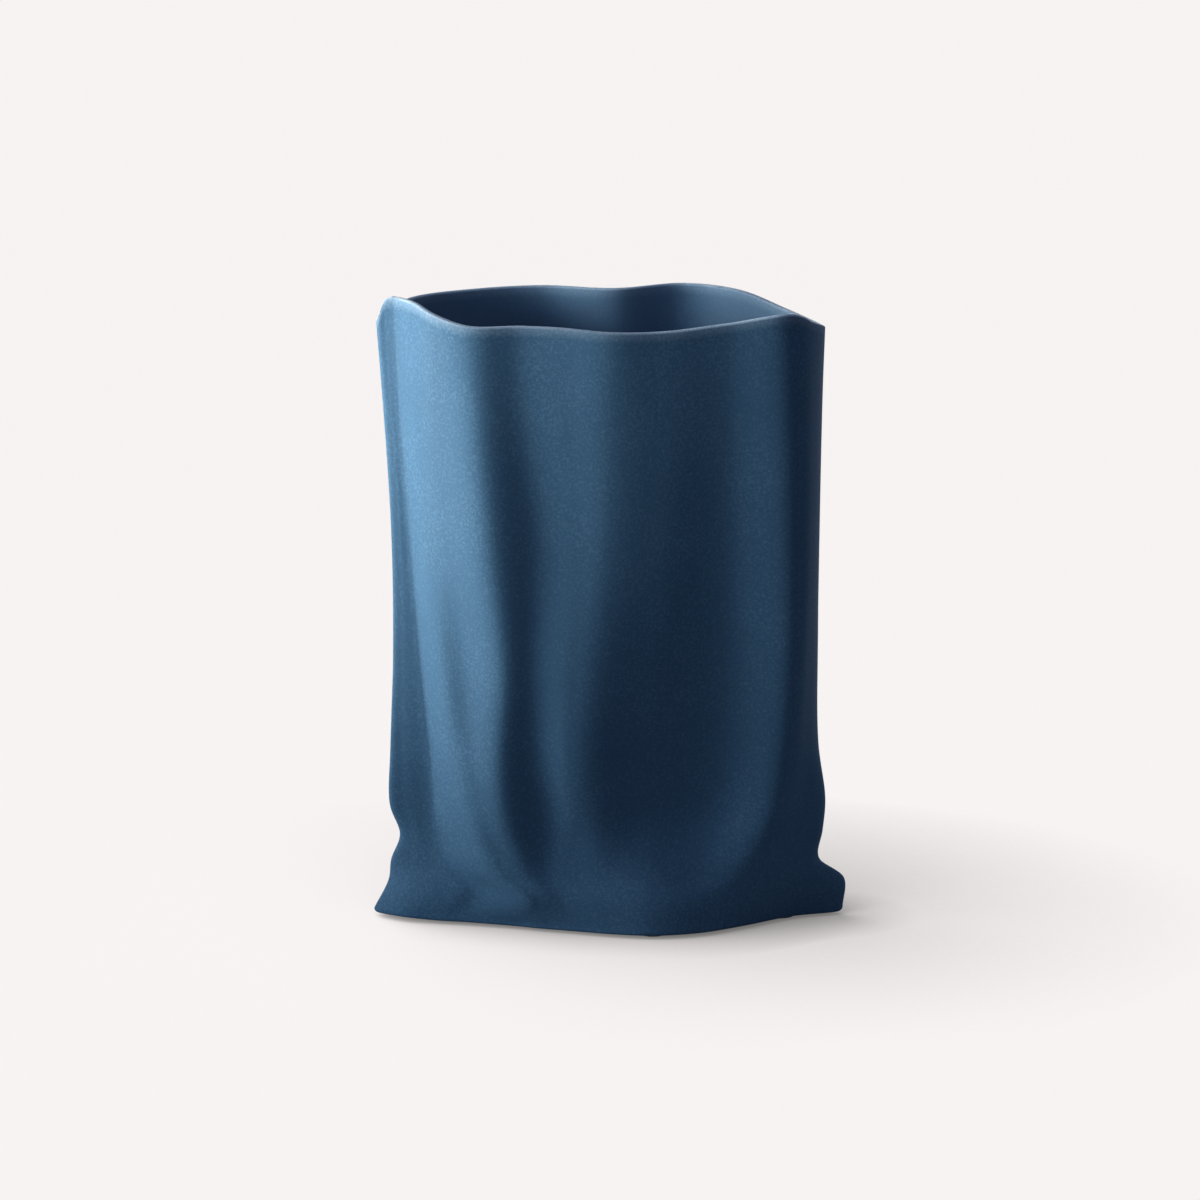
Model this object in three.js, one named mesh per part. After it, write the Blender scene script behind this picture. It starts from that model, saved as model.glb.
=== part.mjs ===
// A vase in the shape of an open, slightly crumpled paper bag.
// One slip-cast ceramic shell, a glaze lining inside it, and four felt dots under its foot.
// Millimetres, +Z up, the front of the bag faces -Y, the origin is under the middle of the bag.

import * as THREE from 'three';

// Overall size of the bag
const BAG_LENGTH = 187;
const BAG_DEPTH = 104;
const RIM_HEIGHT = 245;

// Thickness of the casting
const WALL = 4;
const LIP = 2.8;
const LIP_ROUNDING = 0.9;
const LIP_TAPER = 30;
const FLOOR = 6;
const FLOOR_FILLET = 3;

// Underside of the foot
const FOOT_ROUNDING = 2;
const RECESS_DEPTH = 1.5;

// Glaze lining
const GLAZE = 0.5;

// Felt dots under the foot
const DOT_DIAMETER = 12;
const DOT_THICKNESS = 1.2;
const DOT_CHAMFER = 0.25;
const DOT_MARGIN = 3.4;
const DOT_SIDES = 24;

// Half the angle between the edges of the foot at its pointed ends, in degrees
const END_HALF_ANGLE = 24;

// Clearance between pieces that are stuck or fired onto each other
const SEAT_GAP = 0.3;

// Fineness of the surface: steps between neighbouring fold lines, and between levels
const STEPS_AROUND = 3;
const STEPS_UP = 3;

// Heights at which the fold lines are drawn, in percent of the rim height, from the foot edge to the rim
const LEVELS = [0.75, 5.8, 9.8, 14.5, 20, 29.5, 45.6, 66.2, 87.4, 100];

// How much of a fold line's rise the level below the rim takes
const RISE_BELOW_RIM = 0.55;

// The fold lines of the crumpled bag, around it from its left side over the front to the right and back.
// Each has its rise of the rim in mm, then its places at LEVELS: across in percent of half the length,
// and back in percent of half the depth. A filled fold is too narrow to show on the inside of the wall.
const FOLD_LINES = [
  { name: 'left side', rise: -0.5, filled: true,
    across: [-97, -91.5, -90, -86.3, -90.3, -89.8, -88.4, -89.2, -93.2, -95.8],
    back: [19, 13.5, 5.5, -2.5, -10.8, -18.5, -21.5, -23.5, -24.5, -24.5] },
  { name: 'left tip', rise: -0.3,
    across: [-99.3, -93, -91.6, -87.7, -91.8, -91.3, -89.8, -90.2, -93.3, -95.6],
    back: [10, 4, -4, -12, -19.5, -26.8, -29.5, -31, -31.5, -31.3] },
  { name: 'left fin', rise: 8, filled: true,
    across: [-88, -85, -83.5, -81.5, -85, -86, -85.8, -86.8, -90.4, -92.2],
    back: [-8, -11, -12, -17.5, -22.5, -29.5, -32.5, -34.3, -35.3, -35.2] },
  { name: 'left seam', rise: 9,
    across: [-74, -64, -72, -73.5, -73.8, -76, -80, -83.8, -88.3, -89.9],
    back: [-15, -24.5, -18.5, -21, -25.5, -32.5, -35, -36, -37, -37.3] },
  { name: 'left crease', rise: 9.1,
    across: [-60, -54.7, -66.5, -69.5, -71.5, -74, -78, -82, -86.5, -88],
    back: [-20.5, -28, -22.5, -24.5, -28.5, -34, -36.5, -38, -39, -39.5] },
  { name: 'left streak', rise: 8.7,
    across: [-38, -34, -47, -53, -58, -63.5, -69, -75, -79.5, -80.5],
    back: [-31.5, -51, -49, -52.5, -56, -58.5, -59.5, -56, -56.5, -57.5] },
  { name: 'left hollow', rise: 5.8,
    across: [-31, -29, -40.5, -46, -51, -56, -60, -66, -71, -72],
    back: [-36.5, -52, -52.5, -56.5, -62.5, -66.5, -67.5, -72, -72.5, -75.5] },
  { name: 'left ridge', rise: 2.5,
    across: [-23.5, -24.4, -33.5, -38, -42.5, -45.5, -44.5, -50, -55, -57],
    back: [-40.5, -52.5, -54.5, -59.5, -67, -75.5, -85, -90, -89.5, -89] },
  { name: 'leaf dent', rise: 2.4,
    across: [-17, -18.4, -24, -25, -25.5, -29, -30, -28, -34, -36],
    back: [-44, -53, -53, -54.5, -59, -69, -81.5, -84, -86.5, -87.5] },
  { name: 'centre rise', rise: 1.9,
    across: [-10, -11.7, -14, -14.5, -14.5, -17, -16, -13, -18, -19],
    back: [-47.7, -55, -54, -56, -62, -73, -83, -85, -88, -89.5] },
  { name: 'centre ridge', rise: 0.4,
    across: [0, -3, -3, -4, -4.5, -7, -4, 0, 0.5, 1],
    back: [-53, -57.5, -56, -57.5, -61, -72, -82, -85.5, -90, -92.5] },
  { name: 'right flank', rise: 0.2,
    across: [19, 18, 17, 14, 13, 13, 17, 22, 23, 23],
    back: [-58, -60, -55.5, -52, -51, -60, -72, -79, -84.5, -87] },
  { name: 'right valley', rise: 2.6,
    across: [39, 36, 38, 40.5, 43.5, 46.5, 49, 49.5, 49, 49],
    back: [-50.5, -54, -46.5, -41, -37.3, -43.5, -56, -67, -75.5, -79.5] },
  { name: 'right ridge', rise: 5.8,
    across: [58, 55, 59, 64.5, 70, 74.5, 78, 79, 78, 76],
    back: [-30.5, -40.5, -39.5, -39.5, -40, -45, -55, -62.5, -70.5, -75] },
  { name: 'right corner', rise: 0.9,
    across: [79, 78, 75.5, 79, 81.5, 83, 84.5, 85.5, 85.5, 85],
    back: [-3.5, -13, -21, -22, -23, -28, -37, -44, -50, -54] },
  { name: 'right tip', rise: -4.9,
    across: [100, 100.5, 89.5, 91, 92, 88.8, 88, 88, 88.8, 89.8],
    back: [14, 11, 3, 1, 0, 0, -2, -4, -5, -6] },
  { name: 'back right ridge', rise: -3.4,
    across: [77, 73, 67, 70.5, 73, 74, 73, 73, 74, 75],
    back: [38, 37, 37, 39.5, 43, 50, 56, 54, 52, 48] },
  { name: 'back right hollow', rise: 1.3,
    across: [53, 49, 45, 46, 47.5, 50, 52, 55, 56, 56],
    back: [47, 52, 52, 52, 53, 60, 71, 73, 75, 75] },
  { name: 'back right bulge', rise: 2,
    across: [30, 26, 22, 23, 24.5, 26, 30, 32, 32, 32],
    back: [63, 66, 63, 64, 67, 81, 96, 96, 96, 96] },
  { name: 'back valley', rise: 1.4,
    across: [-1, -2, -3, -2.5, -1.5, 0, 3, 4, 4, 3],
    back: [71, 69, 62, 58.5, 58, 69, 87, 85, 83, 81] },
  { name: 'back left bulge', rise: 1.3,
    across: [-30, -30, -31, -32, -33, -32, -28, -26, -27, -28],
    back: [63, 65, 63, 68, 75, 90, 100, 98, 96, 94] },
  { name: 'back left hollow', rise: 1,
    across: [-56, -53, -52, -54, -56, -58, -58, -57, -57, -57],
    back: [44, 47, 46, 50, 56, 67, 77, 81, 81, 82] },
  { name: 'back left ridge', rise: 0.6,
    across: [-82, -78, -76, -77.5, -79, -79, -79, -80, -82, -83],
    back: [27, 26, 27, 32, 38.5, 48, 58, 58, 54, 52] },
];

const glazedBlue = new THREE.MeshStandardMaterial({ color: 0x3a5f80, roughness: 0.5, metalness: 0 });
const liningBlue = new THREE.MeshStandardMaterial({ color: 0x33506c, roughness: 0.25, metalness: 0 });
const darkFelt = new THREE.MeshStandardMaterial({ color: 0x3a3d42, roughness: 0.95, metalness: 0 });

// Heights of the foot, from the surface that the vase stands on
const footHeight = DOT_THICKNESS + SEAT_GAP;
const recessHeight = footHeight + RECESS_DEPTH;
const floorHeight = recessHeight + FLOOR;

// A fold line as a smooth curve in space, from the foot edge up to the rim
function foldCurve({ rise, across, back }) {
  const rimLevel = LEVELS.length - 1;
  const points = LEVELS.map((level, i) => {
    const lifted = i === rimLevel ? rise : i === rimLevel - 1 ? rise * RISE_BELOW_RIM : 0;
    return new THREE.Vector3(
      (across[i] / 100) * (BAG_LENGTH / 2),
      (back[i] / 100) * (BAG_DEPTH / 2),
      footHeight + (level / 100) * (RIM_HEIGHT - footHeight) + lifted,
    );
  });
  return new THREE.CatmullRomCurve3(points);
}

// The point halfway between two points
function halfway(a, b) {
  return a.clone().add(b).divideScalar(2);
}

// Points of a closed smooth ring, given one point for each fold line
function ringThrough(foldPoints) {
  const ring = new THREE.CatmullRomCurve3(foldPoints, true);
  const around = foldPoints.length * STEPS_AROUND;
  return Array.from({ length: around }, (_, k) => ring.getPoint(k / around));
}

// The outer wall as rings of points, from the foot edge up to the rim
function outerRings() {
  const folds = FOLD_LINES.map(foldCurve);
  const steps = (LEVELS.length - 1) * STEPS_UP;
  return Array.from({ length: steps + 1 }, (_, i) => (
    ringThrough(folds.map((fold) => fold.getPoint(i / steps)))
  ));
}

// Directions out of the wall at every point of its rings
function wallNormals(rings) {
  const top = rings.length - 1;
  return rings.map((ring, i) => ring.map((_, k) => {
    const count = ring.length;
    const along = ring[(k + 1) % count].clone().sub(ring[(k + count - 1) % count]);
    const up = rings[Math.min(i + 1, top)][k].clone().sub(rings[Math.max(i - 1, 0)][k]);
    return along.cross(up).normalize();
  }));
}

// A closed body through rings of points, with a fan over its first and its last ring.
// Every four-sided patch is split along one diagonal, or along the other one if crossed is set.
function loftedBody(rings, crossed = false) {
  const around = rings[0].length;
  const hub = (ring) => ring.reduce((sum, p) => sum.add(p), new THREE.Vector3()).divideScalar(around);
  const points = [...rings.flat(), hub(rings[0]), hub(rings.at(-1))];
  const first = rings.length * around;
  const last = first + 1;
  const end = (rings.length - 1) * around;
  const faces = [];
  for (let k = 0; k < around; k += 1) {
    const next = (k + 1) % around;
    faces.push(first, next, k);
    for (let row = 0; row < end; row += around) {
      const [a, b, c, d] = [row + k, row + next, row + around + next, row + around + k];
      faces.push(...(crossed ? [a, b, d, b, c, d] : [a, b, c, a, c, d]));
    }
    faces.push(end + k, end + next, last);
  }
  const geometry = new THREE.BufferGeometry().setFromPoints(points);
  geometry.setIndex(faces);
  geometry.computeVertexNormals();
  return geometry;
}

const outer = outerRings();
const outward = wallNormals(outer);
const rimRing = outer.at(-1);

// Wall thickness at a point of the outer wall, thinner towards the lip
function wallAt(point, rimPoint) {
  const below = THREE.MathUtils.smoothstep(rimPoint.z - point.z, 0, LIP_TAPER);
  return THREE.MathUtils.lerp(LIP, WALL, below);
}

// A ring of the outer wall, set in at its fold lines by a distance that may differ from fold to fold.
// It runs straight past a filled fold, between the folds beside it.
function insetRing(i, distanceAt) {
  const inset = FOLD_LINES.map((_, fold) => {
    const k = fold * STEPS_AROUND;
    return outer[i][k].clone().addScaledVector(outward[i][k], -distanceAt(outer[i][k], rimRing[k]));
  });
  return ringThrough(inset.map((point, fold) => {
    if (!FOLD_LINES[fold].filled) return point;
    const next = (fold + 1) % inset.length;
    const [before, here, after] = [fold - 1, fold, next].map((f) => outer[i].at(f * STEPS_AROUND));
    const share = before.distanceTo(here) / (before.distanceTo(here) + here.distanceTo(after));
    return inset.at(fold - 1).clone().lerp(inset[next], share);
  }));
}

// A ring of the inner wall, or of a skin that lies a further distance inside it
function innerRing(i, further = 0) {
  return insetRing(i, (point, rimPoint) => wallAt(point, rimPoint) + further);
}

// The rings whose inside lies clear above the floor and its fillet
const firstInside = outer.findIndex((ring) => ring[0].z > floorHeight + FLOOR_FILLET);
const insideLevels = outer.map((_, i) => i).slice(firstInside);

// The edge of the floor, drawn in from the lowest inside ring by the fillet
function floorRing(further) {
  return innerRing(firstInside, further + FLOOR_FILLET).map((p) => p.setZ(floorHeight + further));
}

// The flat of the foot, rounded under from the foot edge
const foot = insetRing(0, () => FOOT_ROUNDING).map((p) => p.setZ(footHeight));

// The oval recess in the underside, on the same rays from the middle of the foot as its edge
const footEdge = new THREE.Box3().setFromPoints(foot);
function recessRing(halfLength, halfDepth, height) {
  const middle = footEdge.getCenter(new THREE.Vector3());
  return outer[0].map((p) => {
    const turn = Math.atan2((p.y - middle.y) / halfDepth, (p.x - middle.x) / halfLength);
    const x = middle.x + halfLength * Math.cos(turn);
    const y = middle.y + halfDepth * Math.sin(turn);
    return new THREE.Vector3(x, y, height);
  });
}

// Middles of the felt dots: at both pointed ends of the foot, and at its front and back
const dotReach = DOT_DIAMETER / 2 + DOT_MARGIN;
const endReach = dotReach / Math.sin(THREE.MathUtils.degToRad(END_HALF_ANGLE));
const highest = (list, value) => list.reduce((best, p) => (value(p) > value(best) ? p : best));
const leftEnd = highest(foot, (p) => -p.x);
const rightEnd = highest(foot, (p) => p.x);
const frontEnd = highest(foot, (p) => -p.y);
const backEnd = highest(foot, (p) => p.y);
const DOTS = {
  foot_pad_left: [leftEnd.x + endReach, leftEnd.y],
  foot_pad_right: [rightEnd.x - endReach, rightEnd.y],
  foot_pad_front: [frontEnd.x, frontEnd.y + dotReach],
  foot_pad_back: [backEnd.x, backEnd.y - dotReach],
};

// The ceramic shell: recess, foot, outer wall, lip, inner wall and floor in one body
function bagBody() {
  const halfLength = (footEdge.max.x - footEdge.min.x) / 2 - endReach - dotReach;
  const halfDepth = (footEdge.max.y - footEdge.min.y) / 2 - 2 * dotReach;
  const lip = innerRing(outer.length - 1).map((p, k) => p.setZ(rimRing[k].z));
  const crown = rimRing.map((p, k) => halfway(p, lip[k]).setZ(p.z + LIP_ROUNDING));
  const inside = insideLevels.slice(0, -1).reverse().map((i) => innerRing(i));
  return loftedBody([
    recessRing(halfLength, halfDepth, recessHeight),
    recessRing(halfLength, halfDepth, footHeight),
    foot,
    ...outer,
    crown,
    lip,
    ...inside,
    floorRing(0),
  ]);
}

// The glaze lining: a thin skin on the floor and the inner wall, up to the last level below the lip.
// Its patches are split as those of the wall behind it, so that the two stay parallel.
function innerGlaze() {
  const levels = insideLevels.slice(0, -1);
  const againstWall = levels.map((i) => innerRing(i, SEAT_GAP));
  const exposed = levels.map((i) => innerRing(i, SEAT_GAP + GLAZE)).reverse();
  return loftedBody([
    floorRing(SEAT_GAP),
    ...againstWall,
    ...exposed,
    floorRing(SEAT_GAP + GLAZE),
  ], true);
}

// A felt dot with slightly broken edges, standing on z = 0
function feltDot() {
  const radius = DOT_DIAMETER / 2;
  const profile = [
    [0, 0],
    [radius - DOT_CHAMFER, 0],
    [radius, DOT_CHAMFER],
    [radius, DOT_THICKNESS],
    [0, DOT_THICKNESS],
  ].map(([r, z]) => new THREE.Vector2(r, z));
  return new THREE.LatheGeometry(profile, DOT_SIDES).rotateX(Math.PI / 2);
}

function addPiece(group, name, geometry, material) {
  const mesh = new THREE.Mesh(geometry, material);
  mesh.name = name;
  group.add(mesh);
  return mesh;
}

// The pieces, set so that the origin lies under the middle of the bag
const vase = new THREE.Group();
const shell = addPiece(vase, 'bag_body', bagBody(), glazedBlue);
addPiece(vase, 'inner_glaze', innerGlaze(), liningBlue);
Object.entries(DOTS).forEach(([name, [x, y]]) => {
  addPiece(vase, name, feltDot(), darkFelt).position.set(x, y, 0);
});
const middle = new THREE.Box3().setFromObject(shell).getCenter(new THREE.Vector3());
vase.position.set(-middle.x, -middle.y, 0);

export default vase;
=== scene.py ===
import math

import bpy
import numpy as np
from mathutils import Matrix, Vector, noise


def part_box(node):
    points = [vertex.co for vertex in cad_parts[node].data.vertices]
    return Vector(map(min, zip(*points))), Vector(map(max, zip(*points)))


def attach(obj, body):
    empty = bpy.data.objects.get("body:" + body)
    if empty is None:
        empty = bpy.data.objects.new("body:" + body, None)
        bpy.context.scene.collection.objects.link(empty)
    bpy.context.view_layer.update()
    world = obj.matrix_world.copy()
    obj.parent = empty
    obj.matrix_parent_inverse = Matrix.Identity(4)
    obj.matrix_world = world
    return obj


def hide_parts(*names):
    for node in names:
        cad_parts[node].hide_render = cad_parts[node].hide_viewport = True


# A vase in the shape of an open, slightly crumpled paper bag.
# Metres, +Z up, the front of the bag faces -Y.
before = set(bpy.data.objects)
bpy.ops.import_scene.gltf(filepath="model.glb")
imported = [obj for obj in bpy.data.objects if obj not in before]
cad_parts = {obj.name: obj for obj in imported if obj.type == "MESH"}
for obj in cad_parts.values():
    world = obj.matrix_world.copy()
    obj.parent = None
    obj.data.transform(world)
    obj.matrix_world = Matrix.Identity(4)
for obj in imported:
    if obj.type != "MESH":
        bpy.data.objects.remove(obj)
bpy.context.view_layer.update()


# The bag body is one slip-cast stoneware shell: the soft folds come from the mould and the lip is
# sponged round. A satin blue slip covers it. Inside it is painted paler as painted light in the mouth,
# and over the lip it is palest, partly where the slip breaks thin and partly a painted highlight. The
# foot ring and the shallow recess under it are wiped clean and stay bare clay.
BAG_LENGTH = 0.187
BAG_DEPTH = 0.104
LIP = 0.0028
LIP_ROUNDING = 0.0009
LIP_TAPER = 0.030
WALL = 0.004
FLOOR = 0.006
FLOOR_FILLET = 0.003
FOOT_ROUNDING = 0.002
RECESS_DEPTH = 0.0015
RECESS_ROUNDING = 0.0006
RECESS_FROM_DOTS = 0.0094

# Steps between neighbouring fold lines, between levels, and round a small edge
STEPS_AROUND = 10
STEPS_UP = 9
STEPS_ROUND = 6

# Levels of the fold lines in percent of the rim height, and the share of its rise that a fold line
# already has at the level below the rim
LEVELS = [0.75, 5.8, 9.8, 14.5, 20, 29.5, 45.6, 66.2, 87.4, 100]
RISE_BELOW_RIM = 0.55

# The fold lines, from the left side over the front to the right and back: rise of the rim in mm,
# whether the fold is too narrow to show inside, then its places at LEVELS, across in percent of half
# the length and back in percent of half the depth
FOLD_LINES = {
    "left side": (-0.5, True, [-97, -91.5, -90, -86.3, -90.3, -89.8, -88.4, -89.2, -93.2, -95.8],
                  [19, 13.5, 5.5, -2.5, -10.8, -18.5, -21.5, -23.5, -24.5, -24.5]),
    "left tip": (-0.3, False, [-99.3, -93, -91.6, -87.7, -91.8, -91.3, -89.8, -90.2, -93.3, -95.6],
                 [10, 4, -4, -12, -19.5, -26.8, -29.5, -31, -31.5, -31.3]),
    "left fin": (8, True, [-88, -85, -83.5, -81.5, -85, -86, -85.8, -86.8, -90.4, -92.2],
                 [-8, -11, -12, -17.5, -22.5, -29.5, -32.5, -34.3, -35.3, -35.2]),
    "left seam": (9, False, [-74, -64, -72, -73.5, -73.8, -76, -80, -83.8, -88.3, -89.9],
                  [-15, -24.5, -18.5, -21, -25.5, -32.5, -35, -36, -37, -37.3]),
    "left crease": (9.1, False, [-60, -54.7, -66.5, -69.5, -71.5, -74, -78, -82, -86.5, -88],
                    [-20.5, -28, -22.5, -24.5, -28.5, -34, -36.5, -38, -39, -39.5]),
    "left streak": (8.7, False, [-38, -34, -47, -53, -58, -63.5, -69, -75, -79.5, -80.5],
                    [-31.5, -51, -49, -52.5, -56, -58.5, -59.5, -56, -56.5, -57.5]),
    "left hollow": (5.8, False, [-31, -29, -40.5, -46, -51, -56, -60, -66, -71, -72],
                    [-36.5, -52, -52.5, -56.5, -62.5, -66.5, -67.5, -72, -72.5, -75.5]),
    "left ridge": (2.5, False, [-23.5, -24.4, -33.5, -38, -42.5, -45.5, -44.5, -50, -55, -57],
                   [-40.5, -52.5, -54.5, -59.5, -67, -75.5, -85, -90, -89.5, -89]),
    "leaf dent": (2.4, False, [-17, -18.4, -24, -25, -25.5, -29, -30, -28, -34, -36],
                  [-44, -53, -53, -54.5, -59, -69, -81.5, -84, -86.5, -87.5]),
    "centre rise": (1.9, False, [-10, -11.7, -14, -14.5, -14.5, -17, -16, -13, -18, -19],
                    [-47.7, -55, -54, -56, -62, -73, -83, -85, -88, -89.5]),
    "centre ridge": (0.4, False, [0, -3, -3, -4, -4.5, -7, -4, 0, 0.5, 1],
                     [-53, -57.5, -56, -57.5, -61, -72, -82, -85.5, -90, -92.5]),
    "right flank": (0.2, False, [19, 18, 17, 14, 13, 13, 17, 22, 23, 23],
                    [-58, -60, -55.5, -52, -51, -60, -72, -79, -84.5, -87]),
    "right valley": (2.6, False, [39, 36, 38, 40.5, 43.5, 46.5, 49, 49.5, 49, 49],
                     [-50.5, -54, -46.5, -41, -37.3, -43.5, -56, -67, -75.5, -79.5]),
    "right ridge": (5.8, False, [58, 55, 59, 64.5, 70, 74.5, 78, 79, 78, 76],
                    [-30.5, -40.5, -39.5, -39.5, -40, -45, -55, -62.5, -70.5, -75]),
    "right corner": (0.9, False, [79, 78, 75.5, 79, 81.5, 83, 84.5, 85.5, 85.5, 85],
                     [-3.5, -13, -21, -22, -23, -28, -37, -44, -50, -54]),
    "right tip": (-4.9, False, [100, 100.5, 89.5, 91, 92, 88.8, 88, 88, 88.8, 89.8],
                  [14, 11, 3, 1, 0, 0, -2, -4, -5, -6]),
    "back right ridge": (-3.4, False, [77, 73, 67, 70.5, 73, 74, 73, 73, 74, 75],
                         [38, 37, 37, 39.5, 43, 50, 56, 54, 52, 48]),
    "back right hollow": (1.3, False, [53, 49, 45, 46, 47.5, 50, 52, 55, 56, 56],
                          [47, 52, 52, 52, 53, 60, 71, 73, 75, 75]),
    "back right bulge": (2, False, [30, 26, 22, 23, 24.5, 26, 30, 32, 32, 32],
                         [63, 66, 63, 64, 67, 81, 96, 96, 96, 96]),
    "back valley": (1.4, False, [-1, -2, -3, -2.5, -1.5, 0, 3, 4, 4, 3],
                    [71, 69, 62, 58.5, 58, 69, 87, 85, 83, 81]),
    "back left bulge": (1.3, False, [-30, -30, -31, -32, -33, -32, -28, -26, -27, -28],
                        [63, 65, 63, 68, 75, 90, 100, 98, 96, 94]),
    "back left hollow": (1, False, [-56, -53, -52, -54, -56, -58, -58, -57, -57, -57],
                         [44, 47, 46, 50, 56, 67, 77, 81, 81, 82]),
    "back left ridge": (0.6, False, [-82, -78, -76, -77.5, -79, -79, -79, -80, -82, -83],
                        [27, 26, 27, 32, 38.5, 48, 58, 58, 54, 52]),
}

MILLIMETRE = 0.001
bag_low, bag_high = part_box("bag_body")
foot_height = bag_low.z
tallest_rise = max(rise for rise, *_ in FOLD_LINES.values()) * MILLIMETRE
rim_height = bag_high.z - tallest_rise - LIP_ROUNDING
recess_height = foot_height + RECESS_DEPTH
floor_height = recess_height + FLOOR


def smooth_curve(points, steps, closed=False):
    """Points on a centripetal Catmull-Rom curve along the first axis of an array of points."""
    before = points[-1:] if closed else 2 * points[:1] - points[1:2]
    after = points[:2] if closed else 2 * points[-1:] - points[-2:-1]
    chain = np.concatenate([before, points, after])
    a, b, c, d = chain[:-3], chain[1:-2], chain[2:-1], chain[3:]

    def stride(start, end):
        return np.sqrt(np.linalg.norm(end - start, axis=-1, keepdims=True))

    ab, bc, cd = stride(a, b), stride(b, c), stride(c, d)
    leave = ((b - a) / ab - (c - a) / (ab + bc) + (c - b) / bc) * bc
    arrive = ((c - b) / bc - (d - b) / (bc + cd) + (d - c) / cd) * bc
    shares = np.arange(steps) / steps
    curve = np.stack([
        b + leave * t + (3 * (c - b) - 2 * leave - arrive) * t**2 + (2 * (b - c) + leave + arrive) * t**3
        for t in shares
    ], axis=1).reshape(-1, *points.shape[1:])
    return curve if closed else np.concatenate([curve, points[-1:]])


def rings_through(folds):
    """Closed rings around the bag, one for each row of points on the fold lines."""
    return smooth_curve(folds.swapaxes(0, 1), STEPS_AROUND, closed=True).swapaxes(0, 1)


def fold_places():
    """Points of all fold lines at all levels, as an array of levels by folds."""
    across = np.array([fold[2] for fold in FOLD_LINES.values()]).T / 100 * BAG_LENGTH / 2
    back = np.array([fold[3] for fold in FOLD_LINES.values()]).T / 100 * BAG_DEPTH / 2
    rise = np.array([fold[0] for fold in FOLD_LINES.values()]) * MILLIMETRE
    height = np.array(LEVELS)[:, None] / 100 * (rim_height - foot_height) + foot_height + 0 * across
    height[-1] += rise
    height[-2] += rise * RISE_BELOW_RIM
    return np.stack([across, back, height], axis=-1)


def wall_normals(rings):
    """Directions out of the wall at every point of its rings."""
    along = np.roll(rings, -1, axis=1) - np.roll(rings, 1, axis=1)
    normals = np.cross(along, np.gradient(rings, axis=0))
    return normals / np.linalg.norm(normals, axis=-1, keepdims=True)


outer = rings_through(smooth_curve(fold_places(), STEPS_UP))
bag_middle = (bag_low + bag_high) / 2
outer_middle = (outer.min(axis=(0, 1)) + outer.max(axis=(0, 1))) / 2
outer[..., :2] += np.array(bag_middle)[:2] - outer_middle[:2]
outward = wall_normals(outer)
rim = outer[-1]


def inset_rings(distance):
    """Rings inside the outer wall, set in at the fold lines and straight past the filled ones."""
    wall = outer[:, ::STEPS_AROUND]
    inset = wall - outward[:, ::STEPS_AROUND] * distance
    bridged = inset.copy()
    for fold, (_, filled, *_) in enumerate(FOLD_LINES.values()):
        if filled:
            after = (fold + 1) % wall.shape[1]
            to_fold = np.linalg.norm(wall[:, fold] - wall[:, fold - 1], axis=-1, keepdims=True)
            from_fold = np.linalg.norm(wall[:, after] - wall[:, fold], axis=-1, keepdims=True)
            share = to_fold / (to_fold + from_fold)
            bridged[:, fold] = inset[:, fold - 1] * (1 - share) + inset[:, after] * share
    return rings_through(bridged)


def inner_rings(further=0):
    """Rings of the inner wall, or of a skin that lies a further distance inside it."""
    below_rim = (outer[-1, ::STEPS_AROUND, 2] - outer[:, ::STEPS_AROUND, 2]) / LIP_TAPER
    taper = np.clip(below_rim, 0, 1)
    wall = LIP + (WALL - LIP) * taper**2 * (3 - 2 * taper)
    return inset_rings(wall[..., None] + further)


def at_height(ring, height):
    """A ring flattened to one height."""
    flat = ring.copy()
    flat[:, 2] = height
    return flat


def quarter_turns(start, end, start_upright):
    """Rings that round off the corner between two rings, one of them on an upright wall."""
    rings = []
    for turn in np.linspace(0, math.pi / 2, STEPS_ROUND + 1)[1:-1]:
        over, rise = math.sin(turn), 1 - math.cos(turn)
        if start_upright:
            over, rise = 1 - math.cos(turn), math.sin(turn)
        rings.append(start + (end - start) * [over, over, rise])
    return rings


def recess_ring(inset, height):
    """A ring of the oval recess, its points on the same rays as those of the foot edge."""
    sides = ("left", "right", "front", "back")
    dots = {side: sum(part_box("foot_pad_" + side), Vector()) / 2 for side in sides}
    half_length = (dots["right"].x - dots["left"].x) / 2 - RECESS_FROM_DOTS - inset
    half_depth = (dots["back"].y - dots["front"].y) / 2 - RECESS_FROM_DOTS - inset
    middle = np.array([(dots["right"].x + dots["left"].x) / 2, (dots["back"].y + dots["front"].y) / 2])
    rays = (outer[0, :, :2] - middle) / [half_length, half_depth]
    oval = rays / np.linalg.norm(rays, axis=-1, keepdims=True) * [half_length, half_depth] + middle
    return np.column_stack([oval, np.full(len(oval), height)])


SHARP_EDGE = math.radians(60)


def lofted_piece(name, rings, marks=None):
    """A closed mesh through rings of points, with a fan over its first and its last ring."""
    around = len(rings[0])
    hubs = [rings[0].mean(axis=0), rings[-1].mean(axis=0)]
    points = np.concatenate([*rings, hubs])
    first_hub = len(rings) * around
    faces = []
    for k in range(around):
        following = (k + 1) % around
        faces.append((first_hub, following, k))
        for row in range(0, first_hub - around, around):
            faces.append((row + k, row + following, row + around + following, row + around + k))
        faces.append((first_hub - around + k, first_hub - around + following, first_hub + 1))
    mesh = bpy.data.meshes.new(name)
    mesh.from_pydata(points.tolist(), [], faces)
    mesh.shade_smooth()
    mesh.set_sharp_from_angle(angle=SHARP_EDGE)
    for mark, levels in (marks or {}).items():
        values = np.concatenate([np.repeat(levels, around), [levels[0], levels[-1]]])
        mesh.attributes.new(mark, "FLOAT", "POINT").data.foreach_set("value", values.astype(np.float32))
    piece = bpy.data.objects.new(name, mesh)
    bpy.context.scene.collection.objects.link(piece)
    return piece


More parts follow.
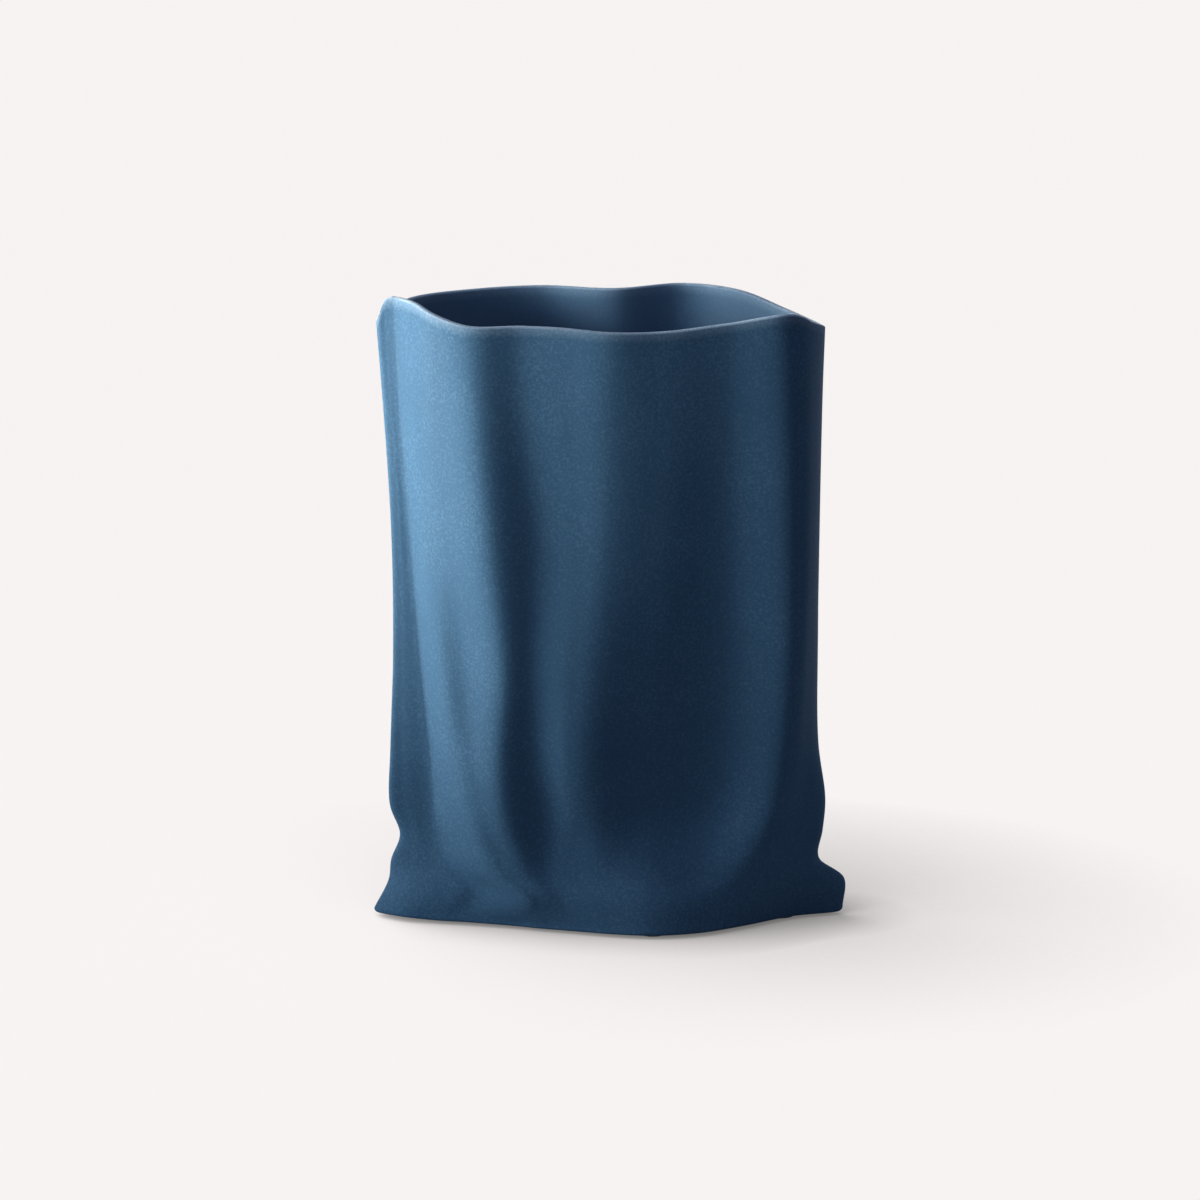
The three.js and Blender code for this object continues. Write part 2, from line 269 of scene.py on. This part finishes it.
# Hand smoothing leaves the outside very slightly uneven
UNEVEN_HEIGHT = 0.00006
UNEVEN_SPAN = 0.017
uneven = np.array([[noise.noise(Vector(p) / UNEVEN_SPAN) for p in ring] for ring in outer.tolist()])
uneven *= np.sin(np.linspace(0, math.pi, len(outer)))[:, None]
shell_outside = outer + outward * (uneven * UNEVEN_HEIGHT)[..., None]

inner = inner_rings()
first_inside = int(np.argmax(outer[:, 0, 2] > floor_height + FLOOR_FILLET))
foot = at_height(inset_rings(FOOT_ROUNDING)[0], foot_height)
lip_inside = at_height(inner[-1], rim[:, 2])
floor_edge = at_height(inner_rings(FLOOR_FILLET)[first_inside], floor_height)

underside = [
    recess_ring(2 * RECESS_ROUNDING, recess_height),
    recess_ring(RECESS_ROUNDING, recess_height),
    recess_ring(0, recess_height - RECESS_ROUNDING),
    recess_ring(0, foot_height + RECESS_ROUNDING),
    recess_ring(-RECESS_ROUNDING, foot_height),
    recess_ring(-2 * RECESS_ROUNDING, foot_height),
    foot,
]
foot_roll = quarter_turns(foot, outer[0], start_upright=False)
lip_roll = []
for turn in np.linspace(0, math.pi, 2 * STEPS_ROUND + 1)[1:-1]:
    ring = rim + (lip_inside - rim) * (1 - math.cos(turn)) / 2
    lip_roll.append(at_height(ring, rim[:, 2] + LIP_ROUNDING * math.sin(turn)))
inside = list(inner[first_inside:-1][::-1])
floor_roll = quarter_turns(inner[first_inside], floor_edge, start_upright=True)

shell_rings = [*underside, *foot_roll, *shell_outside, *lip_roll, lip_inside]
shell_rings += [*inside, *floor_roll, floor_edge]

# How far the pale break and painted highlight reach on each side of the lip, in quarter turns of its
# rounding
LIP_BREAK_AND_HIGHLIGHT = 1.15
bare_rows = len(underside)
lip_row = bare_rows + len(foot_roll) + len(outer) + len(lip_roll) // 2
rows = np.arange(len(shell_rings))
bag_body = lofted_piece("ceramic_bag", shell_rings, {
    "bare_clay": (rows < bare_rows).astype(float),
    "lip_break_and_highlight": np.clip(LIP_BREAK_AND_HIGHLIGHT - np.abs(rows - lip_row) / STEPS_ROUND, 0, 1),
    "inside": (rows > lip_row).astype(float),
})


def add_node(tree, kind, sockets=None, **settings):
    """A shader node with its settings, and with a value or a link on each named socket."""
    made = tree.nodes.new("ShaderNode" + kind)
    for setting, value in settings.items():
        setattr(made, setting, value)
    for socket, value in (sockets or {}).items():
        if isinstance(value, bpy.types.NodeSocket):
            tree.links.new(value, made.inputs[socket])
        else:
            made.inputs[socket].default_value = value
    return made


def node_group(name, inputs, outputs):
    """An empty shader node group with named float or colour sockets."""
    group = bpy.data.node_groups.new(name, "ShaderNodeTree")
    for direction, sockets in (("INPUT", inputs), ("OUTPUT", outputs)):
        for socket, kind in sockets.items():
            group.interface.new_socket(name=socket, in_out=direction, socket_type="NodeSocket" + kind)
    return group, group.nodes.new("NodeGroupInput"), group.nodes.new("NodeGroupOutput")


def mixed(tree, share, first, second):
    """A mix of two colours, with the share of the second one."""
    mix = add_node(tree, "Mix", data_type="RGBA")
    for socket, value in ((mix.inputs[0], share), (mix.inputs[6], first), (mix.inputs[7], second)):
        if isinstance(value, bpy.types.NodeSocket):
            tree.links.new(value, socket)
        else:
            socket.default_value = value
    return mix.outputs[2]


SPECK_SHARE = 0.6


def kiln_mottle():
    """Cloudy and finely speckled tone of a fired finish, and the height of its grain."""
    group, given, put_out = node_group(
        "Kiln Mottle",
        {"Cloud Size": "Float", "Grain Size": "Float", "Color": "Color", "Pale": "Color", "Deep": "Color"},
        {"Color": "Color", "Tone": "Float", "Grain": "Float"},
    )
    place = add_node(group, "TexCoord").outputs["Object"]

    def noise_of(size, detail, roughness):
        scale = add_node(group, "Math", {0: 1.0, 1: size}, operation="DIVIDE").outputs[0]
        return add_node(group, "TexNoise", {
            "Vector": place, "Scale": scale, "Detail": detail, "Roughness": roughness,
        }).outputs["Fac"]

    cloud = noise_of(given.outputs["Cloud Size"], detail=3, roughness=0.55)
    grain = noise_of(given.outputs["Grain Size"], detail=2, roughness=0.6)
    speck = add_node(group, "MapRange", {"Value": grain, "From Min": 0.3, "From Max": 0.7}).outputs[0]
    patch = add_node(group, "MapRange", {"Value": cloud, "From Min": 0.1, "From Max": 0.9}).outputs[0]
    tone = add_node(group, "Mix", {0: SPECK_SHARE, 2: patch, 3: speck}).outputs[0]
    darker = mixed(group, tone, given.outputs["Deep"], given.outputs["Color"])
    upper = add_node(group, "MapRange", {"Value": tone, "From Min": 0.5, "From Max": 1.0}).outputs[0]
    colour = mixed(group, upper, darker, given.outputs["Pale"])
    group.links.new(colour, put_out.inputs["Color"])
    group.links.new(tone, put_out.inputs["Tone"])
    group.links.new(grain, put_out.inputs["Grain"])
    return group


KILN_MOTTLE = kiln_mottle()


def mottled(tree, cloud_size, grain_size, colour, pale, deep):
    """The kiln mottle in a material, with that finish's own sizes and colours."""
    return add_node(tree, "Group", {
        "Cloud Size": cloud_size, "Grain Size": grain_size, "Color": colour, "Pale": pale, "Deep": deep,
    }, node_tree=KILN_MOTTLE)


SATIN_BLUE = (0.045, 0.122, 0.235, 1)
SATIN_PALE = (0.062, 0.156, 0.290, 1)
SATIN_DEEP = (0.031, 0.093, 0.192, 1)
SATIN_SPECULAR = 0.05
SATIN_ROUGHNESS = (0.58, 0.68)
SLIP_CLOUD = 0.030
SLIP_GRAIN = 0.0010
SLIP_GRAIN_HEIGHT = 0.00008
# Painted highlight: the lip colour is far paler than the slip, standing in for light on the lip's top as
# well as the thin break of the slip
LIP_BREAK_HIGHLIGHT_BLUE = (0.44, 0.68, 0.94, 1)
LIP_WEAR_AND_HIGHLIGHT = (0.6, 1.3)
# Painted light: the inside is a paler copy of the outside slip, lightened to stand in for light inside the
# mouth
INSIDE_PAINTED_LIGHT_BLUE = (0.130, 0.265, 0.460, 1)
INSIDE_SHARE = 0.5
CLAY_BUFF = (0.33, 0.27, 0.21, 1)
CLAY_PALE = (0.38, 0.32, 0.25, 1)
CLAY_DEEP = (0.27, 0.215, 0.165, 1)
CLAY_CLOUD = 0.012
CLAY_GRAIN = 0.0005
CLAY_ROUGHNESS = 0.85


def satin_slip(tree):
    """The mottled satin slip in a material."""
    return mottled(tree, SLIP_CLOUD, SLIP_GRAIN, SATIN_BLUE, SATIN_PALE, SATIN_DEEP)


def inside_slip(tree, slip):
    """The colour of the slip inside the bag, painted paler than outside to stand in for light inside the
    mouth.
    """
    return mixed(tree, INSIDE_SHARE, slip.outputs["Color"], INSIDE_PAINTED_LIGHT_BLUE)


def ranged(tree, value, low, high):
    """A value from 0 to 1, brought to a range between two others."""
    return add_node(tree, "MapRange", {"Value": value, "To Min": low, "To Max": high}).outputs[0]


def satin_blue_ceramic():
    """Satin blue slip with a fine eggshell grain, painted paler inside as painted light, a pale break over
    the lip that is partly a painted highlight, bare clay under the foot.
    """
    material = bpy.data.materials.new("satin_blue_ceramic")
    material.use_nodes = True
    tree = material.node_tree
    surface = tree.nodes["Principled BSDF"]
    surface.inputs["Specular IOR Level"].default_value = SATIN_SPECULAR
    slip = satin_slip(tree)
    clay = mottled(tree, CLAY_CLOUD, CLAY_GRAIN, CLAY_BUFF, CLAY_PALE, CLAY_DEEP)
    # The lip mark is partly the slip breaking thin and partly a painted highlight along the lip
    lip = add_node(tree, "Attribute", attribute_name="lip_break_and_highlight").outputs["Fac"]
    worn_and_lit = ranged(tree, slip.outputs["Tone"], *LIP_WEAR_AND_HIGHLIGHT)
    lip_highlight = add_node(tree, "Math", {0: lip, 1: worn_and_lit}, operation="MULTIPLY", use_clamp=True).outputs[0]
    within = add_node(tree, "Attribute", attribute_name="inside").outputs["Fac"]
    slip_colour = mixed(tree, within, slip.outputs["Color"], inside_slip(tree, slip))
    with_lip_highlight = mixed(tree, lip_highlight, slip_colour, LIP_BREAK_HIGHLIGHT_BLUE)
    bare = add_node(tree, "Attribute", attribute_name="bare_clay").outputs["Fac"]
    tree.links.new(mixed(tree, bare, with_lip_highlight, clay.outputs["Color"]), surface.inputs["Base Color"])
    satin = ranged(tree, slip.outputs["Tone"], *SATIN_ROUGHNESS)
    roughness = add_node(tree, "Mix", {0: bare, 2: satin, 3: CLAY_ROUGHNESS}).outputs[0]
    tree.links.new(roughness, surface.inputs["Roughness"])
    eggshell = add_node(tree, "Bump", {
        "Strength": 0.35, "Distance": SLIP_GRAIN_HEIGHT, "Height": slip.outputs["Grain"],
    }).outputs[0]
    tree.links.new(eggshell, surface.inputs["Normal"])
    return material


bag_body.data.materials.append(satin_blue_ceramic())
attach(bag_body, "root")
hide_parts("bag_body")


# The glaze lining is a coat of blue glaze, poured in and swilled round so that the vase holds water.
# It is fired onto the inner wall and the floor, a little glossier than the slip outside, and thins
# out to a feather edge a finger's breadth below the lip.
SEAT_GAP = 0.0003
GLAZE = 0.0005
UNGLAZED_ROWS = STEPS_UP // 3
FEATHER_ROWS = 10
FEATHER_EDGE = 0.00006

glaze_top = len(outer) - 1 - UNGLAZED_ROWS
from_edge = np.clip((glaze_top - np.arange(len(outer))) / FEATHER_ROWS, 0, 1)
coat = from_edge**2 * (3 - 2 * from_edge)
feather = coat[:, None, None]
seated = inner_rings(FEATHER_EDGE / 2 + (SEAT_GAP - FEATHER_EDGE / 2) * feather)
exposed = inner_rings(FEATHER_EDGE + (SEAT_GAP + GLAZE - FEATHER_EDGE) * feather)
glazed = slice(first_inside, glaze_top + 1)


def pool_edge(lift):
    """The edge of the glaze on the floor, a little above it and inside its fillet."""
    return at_height(inner_rings(lift + FLOOR_FILLET)[first_inside], floor_height + lift)


pool_under = pool_edge(SEAT_GAP)
pool_top = pool_edge(SEAT_GAP + GLAZE)
pool_rise = [pool_under, *quarter_turns(pool_under, seated[first_inside], start_upright=False)]
pool_fall = [*quarter_turns(exposed[first_inside], pool_top, start_upright=True), pool_top]
lining = lofted_piece("glaze_lining", [*pool_rise, *seated[glazed], *exposed[glazed][::-1], *pool_fall], {
    "glaze_coat": np.concatenate([
        np.ones(len(pool_rise)), coat[glazed], coat[glazed][::-1], np.ones(len(pool_fall)),
    ]),
})

GLAZE_BLUE = (0.040, 0.112, 0.218, 1)
GLAZE_PALE = (0.047, 0.127, 0.240, 1)
GLAZE_DEEP = (0.032, 0.094, 0.190, 1)
GLAZE_CLOUD = 0.045
GLAZE_GRAIN = 0.0025
GLAZE_ROUGHNESS = 0.48
RIPPLE_HEIGHT = 0.0001


def blue_glaze_lining():
    """Semi-gloss blue glaze with slow clouds from swilling and almost no grain."""
    material = bpy.data.materials.new("blue_glaze_lining")
    material.use_nodes = True
    tree = material.node_tree
    surface = tree.nodes["Principled BSDF"]
    surface.inputs["Specular IOR Level"].default_value = SATIN_SPECULAR
    glaze = mottled(tree, GLAZE_CLOUD, GLAZE_GRAIN, GLAZE_BLUE, GLAZE_PALE, GLAZE_DEEP)
    # At its feather edge the glaze shows the inside slip, which is painted paler as painted light
    shows_through = inside_slip(tree, satin_slip(tree))
    covered = add_node(tree, "Attribute", attribute_name="glaze_coat").outputs["Fac"]
    colour = mixed(tree, covered, shows_through, glaze.outputs["Color"])
    tree.links.new(colour, surface.inputs["Base Color"])
    gloss = ranged(tree, covered, sum(SATIN_ROUGHNESS) / 2, GLAZE_ROUGHNESS)
    tree.links.new(gloss, surface.inputs["Roughness"])
    ripple = add_node(tree, "Bump", {
        "Strength": 0.2, "Distance": RIPPLE_HEIGHT, "Height": glaze.outputs["Grain"],
    }).outputs[0]
    tree.links.new(ripple, surface.inputs["Normal"])
    return material


lining.data.materials.append(blue_glaze_lining())
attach(lining, "root")
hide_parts("inner_glaze")


# Four self-adhesive dots, punched from pressed dark felt on a thin clear film, are stuck under the
# foot ring at its two ends, its front and its back. They lift the bare clay just off the table.
DOT_SIDES = 64
DOT_EDGE = 0.00035
FILM_INSET = 0.0003
FUZZ_HEIGHT = 0.00007
FUZZ_SPAN = 0.0006
OUTLINE_HEIGHT = 0.00016
OUTLINE_SPAN = 0.0022
FACE_ROWS = 9
FACE_FROM = 0.12
FACE_TO = 0.94


def felt_dot(name, node):
    """A felt dot with a fuzzy face and a slightly ragged outline, up to the clay that it sticks to."""
    low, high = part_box(node)
    middle = (low + high) / 2
    radius = (high.x - low.x) / 2
    turns = np.linspace(0, 2 * math.pi, DOT_SIDES, endpoint=False)
    ways = [Vector((math.cos(t), math.sin(t), middle.x / radius)) for t in turns]
    ragged = np.array([noise.noise(way * radius / OUTLINE_SPAN) for way in ways])

    def ring(reach, height, fuzz=0.0):
        reaches = reach * (1 + ragged * OUTLINE_HEIGHT / radius)
        points = np.column_stack([
            middle.x + reaches * np.cos(turns),
            middle.y + reaches * np.sin(turns),
            np.full(DOT_SIDES, low.z + height),
        ])
        points[:, 2] += [fuzz * (noise.noise(Vector(p) / FUZZ_SPAN) + 1) / 2 for p in points]
        return points

    thickness = high.z - low.z
    face = [ring(radius * share, 0, FUZZ_HEIGHT) for share in np.linspace(FACE_FROM, FACE_TO, FACE_ROWS)]
    bottom_edge = [
        ring(radius - DOT_EDGE * (1 - math.sin(t)), DOT_EDGE * (1 - math.cos(t)))
        for t in np.linspace(0, math.pi / 2, STEPS_ROUND)
    ]
    film_reach = radius - FILM_INSET
    return lofted_piece(name, [
        *face,
        *bottom_edge,
        ring(radius + OUTLINE_HEIGHT, thickness / 2),
        ring(radius, thickness - DOT_EDGE / 2),
        ring(film_reach, thickness),
        ring(film_reach, foot_height - low.z),
    ])


FELT_DARK = (0.030, 0.032, 0.036, 1)
FELT_LIGHT = (0.085, 0.088, 0.095, 1)
FIBRE_STRETCH = (900, 5200, 3000)
FIBRE_TURN = (0.3, 0.5, 1.1)
NAP_HEIGHT = 0.0002


def dark_felt():
    """Pressed wool felt: short crossing fibres, dull, with a little sheen."""
    material = bpy.data.materials.new("dark_felt")
    material.use_nodes = True
    tree = material.node_tree
    surface = tree.nodes["Principled BSDF"]
    surface.inputs["Roughness"].default_value = 0.95
    surface.inputs["Sheen Weight"].default_value = 0.35
    surface.inputs["Specular IOR Level"].default_value = 0.2
    place = add_node(tree, "TexCoord").outputs["Object"]
    layers = []
    for side in (1, -1):
        laid = add_node(tree, "Mapping", {
            "Vector": place,
            "Rotation": [side * turn for turn in FIBRE_TURN],
            "Scale": FIBRE_STRETCH,
        }).outputs[0]
        layers.append(add_node(tree, "TexNoise", {"Vector": laid, "Scale": 1.0, "Detail": 3}).outputs["Fac"])
    fibres = add_node(tree, "Math", {0: layers[0], 1: layers[1]}, operation="MAXIMUM").outputs[0]
    lit = add_node(tree, "MapRange", {"Value": fibres, "From Min": 0.45, "From Max": 0.75}).outputs[0]
    tree.links.new(mixed(tree, lit, FELT_DARK, FELT_LIGHT), surface.inputs["Base Color"])
    nap = add_node(tree, "Bump", {"Strength": 0.8, "Distance": NAP_HEIGHT, "Height": fibres}).outputs[0]
    tree.links.new(nap, surface.inputs["Normal"])
    return material


felt = dark_felt()
for side in ("left", "right", "front", "back"):
    dot = felt_dot("felt_dot_" + side, "foot_pad_" + side)
    dot.data.materials.append(felt)
    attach(dot, "root")
    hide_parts("foot_pad_" + side)


# The studio is a plain pale sweep with two soft boxes close to the left of the vase, a faint one behind
# it and even light all round. The sweep looks pale to the camera and in gloss, and the vase's shadow on it
# is painted into its glow, darker where the vase hides the sky from it.
FLOOR_REACH = 5.0
FLOOR_GREY = (0.42, 0.41, 0.405, 1)
PALE = (0.93, 0.896, 0.888, 1)
FLOOR_EVENNESS = 0.92
FLOOR_GLOW = 1.075
SHADOW_REACH = 0.17
SHADOW_GLOW = 0.05
SHADOW_LEAN = (-0.80, -0.36, 0.48)
CONTACT_REACH = 0.030
CONTACT_LEAN = (-0.96, -0.12, 0.24)
FILL_LIGHT = (1.0, 0.88, 1.02, 1)
FILL_STRENGTH = 0.188


def seen_by_eye(tree):
    """1 for rays that show a surface to the camera, straight or by gloss and glass, and 0 for light."""
    rays = add_node(tree, "LightPath").outputs
    gloss = add_node(tree, "Math", {0: rays["Is Camera Ray"], 1: rays["Is Glossy Ray"]}, operation="ADD")
    both = {0: gloss.outputs[0], 1: rays["Is Transmission Ray"]}
    return add_node(tree, "Math", both, operation="ADD", use_clamp=True).outputs[0]


def sky_share(tree, reach, lean):
    """Share of one side of the sky that nothing within reach hides from a point of the floor, used to paint
    the vase's shadow into the floor's glow.
    """
    side = add_node(tree, "CombineXYZ", dict(enumerate(lean))).outputs[0]
    return add_node(tree, "AmbientOcclusion", {"Distance": reach, "Normal": side}).outputs["AO"]


corners = [(-1, -1), (1, -1), (1, 1), (-1, 1)]
sweep_mesh = bpy.data.meshes.new("floor")
sweep_mesh.from_pydata([(x * FLOOR_REACH, y * FLOOR_REACH, 0) for x, y in corners], [], [(0, 1, 2, 3)])
sweep = bpy.data.objects.new("floor", sweep_mesh)
bpy.context.scene.collection.objects.link(sweep)
paper = bpy.data.materials.new("pale_paper")
paper.use_nodes = True
paper_tree = paper.node_tree
matt = paper_tree.nodes["Principled BSDF"]
matt.inputs["Base Color"].default_value = FLOOR_GREY
matt.inputs["Roughness"].default_value = 0.9
matt.inputs["Specular IOR Level"].default_value = 0.0
# Painted shadow: the floor's pale glow is darkened near the vase, in a wide soft shadow and a tight contact
# shadow
wide_shadow = sky_share(paper_tree, SHADOW_REACH, SHADOW_LEAN)
contact_shadow = sky_share(paper_tree, CONTACT_REACH, CONTACT_LEAN)
sky = add_node(paper_tree, "Math", {0: wide_shadow, 1: contact_shadow}, operation="MULTIPLY").outputs[0]
glow = ranged(paper_tree, sky, SHADOW_GLOW, FLOOR_GLOW)
pale_with_painted_shadow = add_node(paper_tree, "Emission", {"Color": PALE, "Strength": glow})
share = {0: seen_by_eye(paper_tree), 1: FLOOR_EVENNESS}
look = add_node(paper_tree, "Math", share, operation="MULTIPLY").outputs[0]
blend = add_node(paper_tree, "MixShader", {0: look, 1: matt.outputs[0], 2: pale_with_painted_shadow.outputs[0]})
paper_tree.links.new(blend.outputs[0], paper_tree.nodes["Material Output"].inputs["Surface"])
sweep.data.materials.append(paper)

world = bpy.data.worlds.new("studio")
world.use_nodes = True
world_tree = world.node_tree
fill = world_tree.nodes["Background"]
fill.inputs["Color"].default_value = FILL_LIGHT
fill.inputs["Strength"].default_value = FILL_STRENGTH
backdrop = add_node(world_tree, "Background", {"Color": PALE, "Strength": 1.0})
surroundings = {0: seen_by_eye(world_tree), 1: fill.outputs[0], 2: backdrop.outputs[0]}
blend = add_node(world_tree, "MixShader", surroundings)
world_tree.links.new(blend.outputs[0], world_tree.nodes["World Output"].inputs["Surface"])
bpy.context.scene.world = world

WARM_WHITE = (1.0, 0.79, 0.60)
COOL_WHITE = (0.72, 0.89, 1.0)
SOFT_BOX_SIZE = 0.3


def soft_box(name, place, aim, power, colour, spread):
    """A square lamp that lights the vase softly and isn't seen itself."""
    lamp = bpy.data.lights.new(name, "AREA")
    lamp.size = SOFT_BOX_SIZE
    lamp.energy = power
    lamp.color = colour
    lamp.spread = math.radians(spread)
    box = bpy.data.objects.new(name, lamp)
    box.location = place
    box.rotation_euler = (aim - place).to_track_quat("-Z", "Y").to_euler()
    box.visible_camera = False
    bpy.context.scene.collection.objects.link(box)


NEAR_LEFT = Vector((-0.496, -0.093, 0.226))
FAR_LEFT = Vector((-0.832, -0.315, 0.330))
FAR_BACK = Vector((-0.35, 1.00, 0.50))
LEFT_SHOULDER = Vector((-0.05, -0.03, 0.25))
BACK_MIDDLE = Vector((0, 0.04, 0.14))
soft_box("near_soft_box", NEAR_LEFT, LEFT_SHOULDER, power=1.31, colour=WARM_WHITE, spread=52)
soft_box("far_soft_box", FAR_LEFT, LEFT_SHOULDER, power=0.68, colour=COOL_WHITE, spread=80)
soft_box("back_soft_box", FAR_BACK, BACK_MIDDLE, power=0.60, colour=WARM_WHITE, spread=70)

CAMERA_AIM = Vector((-0.0039, 0, 0.1299))
CAMERA_DISTANCE = 2.6
CAMERA_ELEVATION = math.radians(13.2)
VIEW_WIDTH = 0.4716

lens = bpy.data.cameras.new("camera")
lens.lens = lens.sensor_width * CAMERA_DISTANCE / VIEW_WIDTH
camera = bpy.data.objects.new("camera", lens)
to_camera = Vector((0, -math.cos(CAMERA_ELEVATION), math.sin(CAMERA_ELEVATION)))
camera.location = CAMERA_AIM + to_camera * CAMERA_DISTANCE
camera.rotation_euler = to_camera.to_track_quat("Z", "Y").to_euler()
bpy.context.scene.collection.objects.link(camera)
bpy.context.scene.camera = camera
bpy.context.scene.view_settings.view_transform = "Standard"
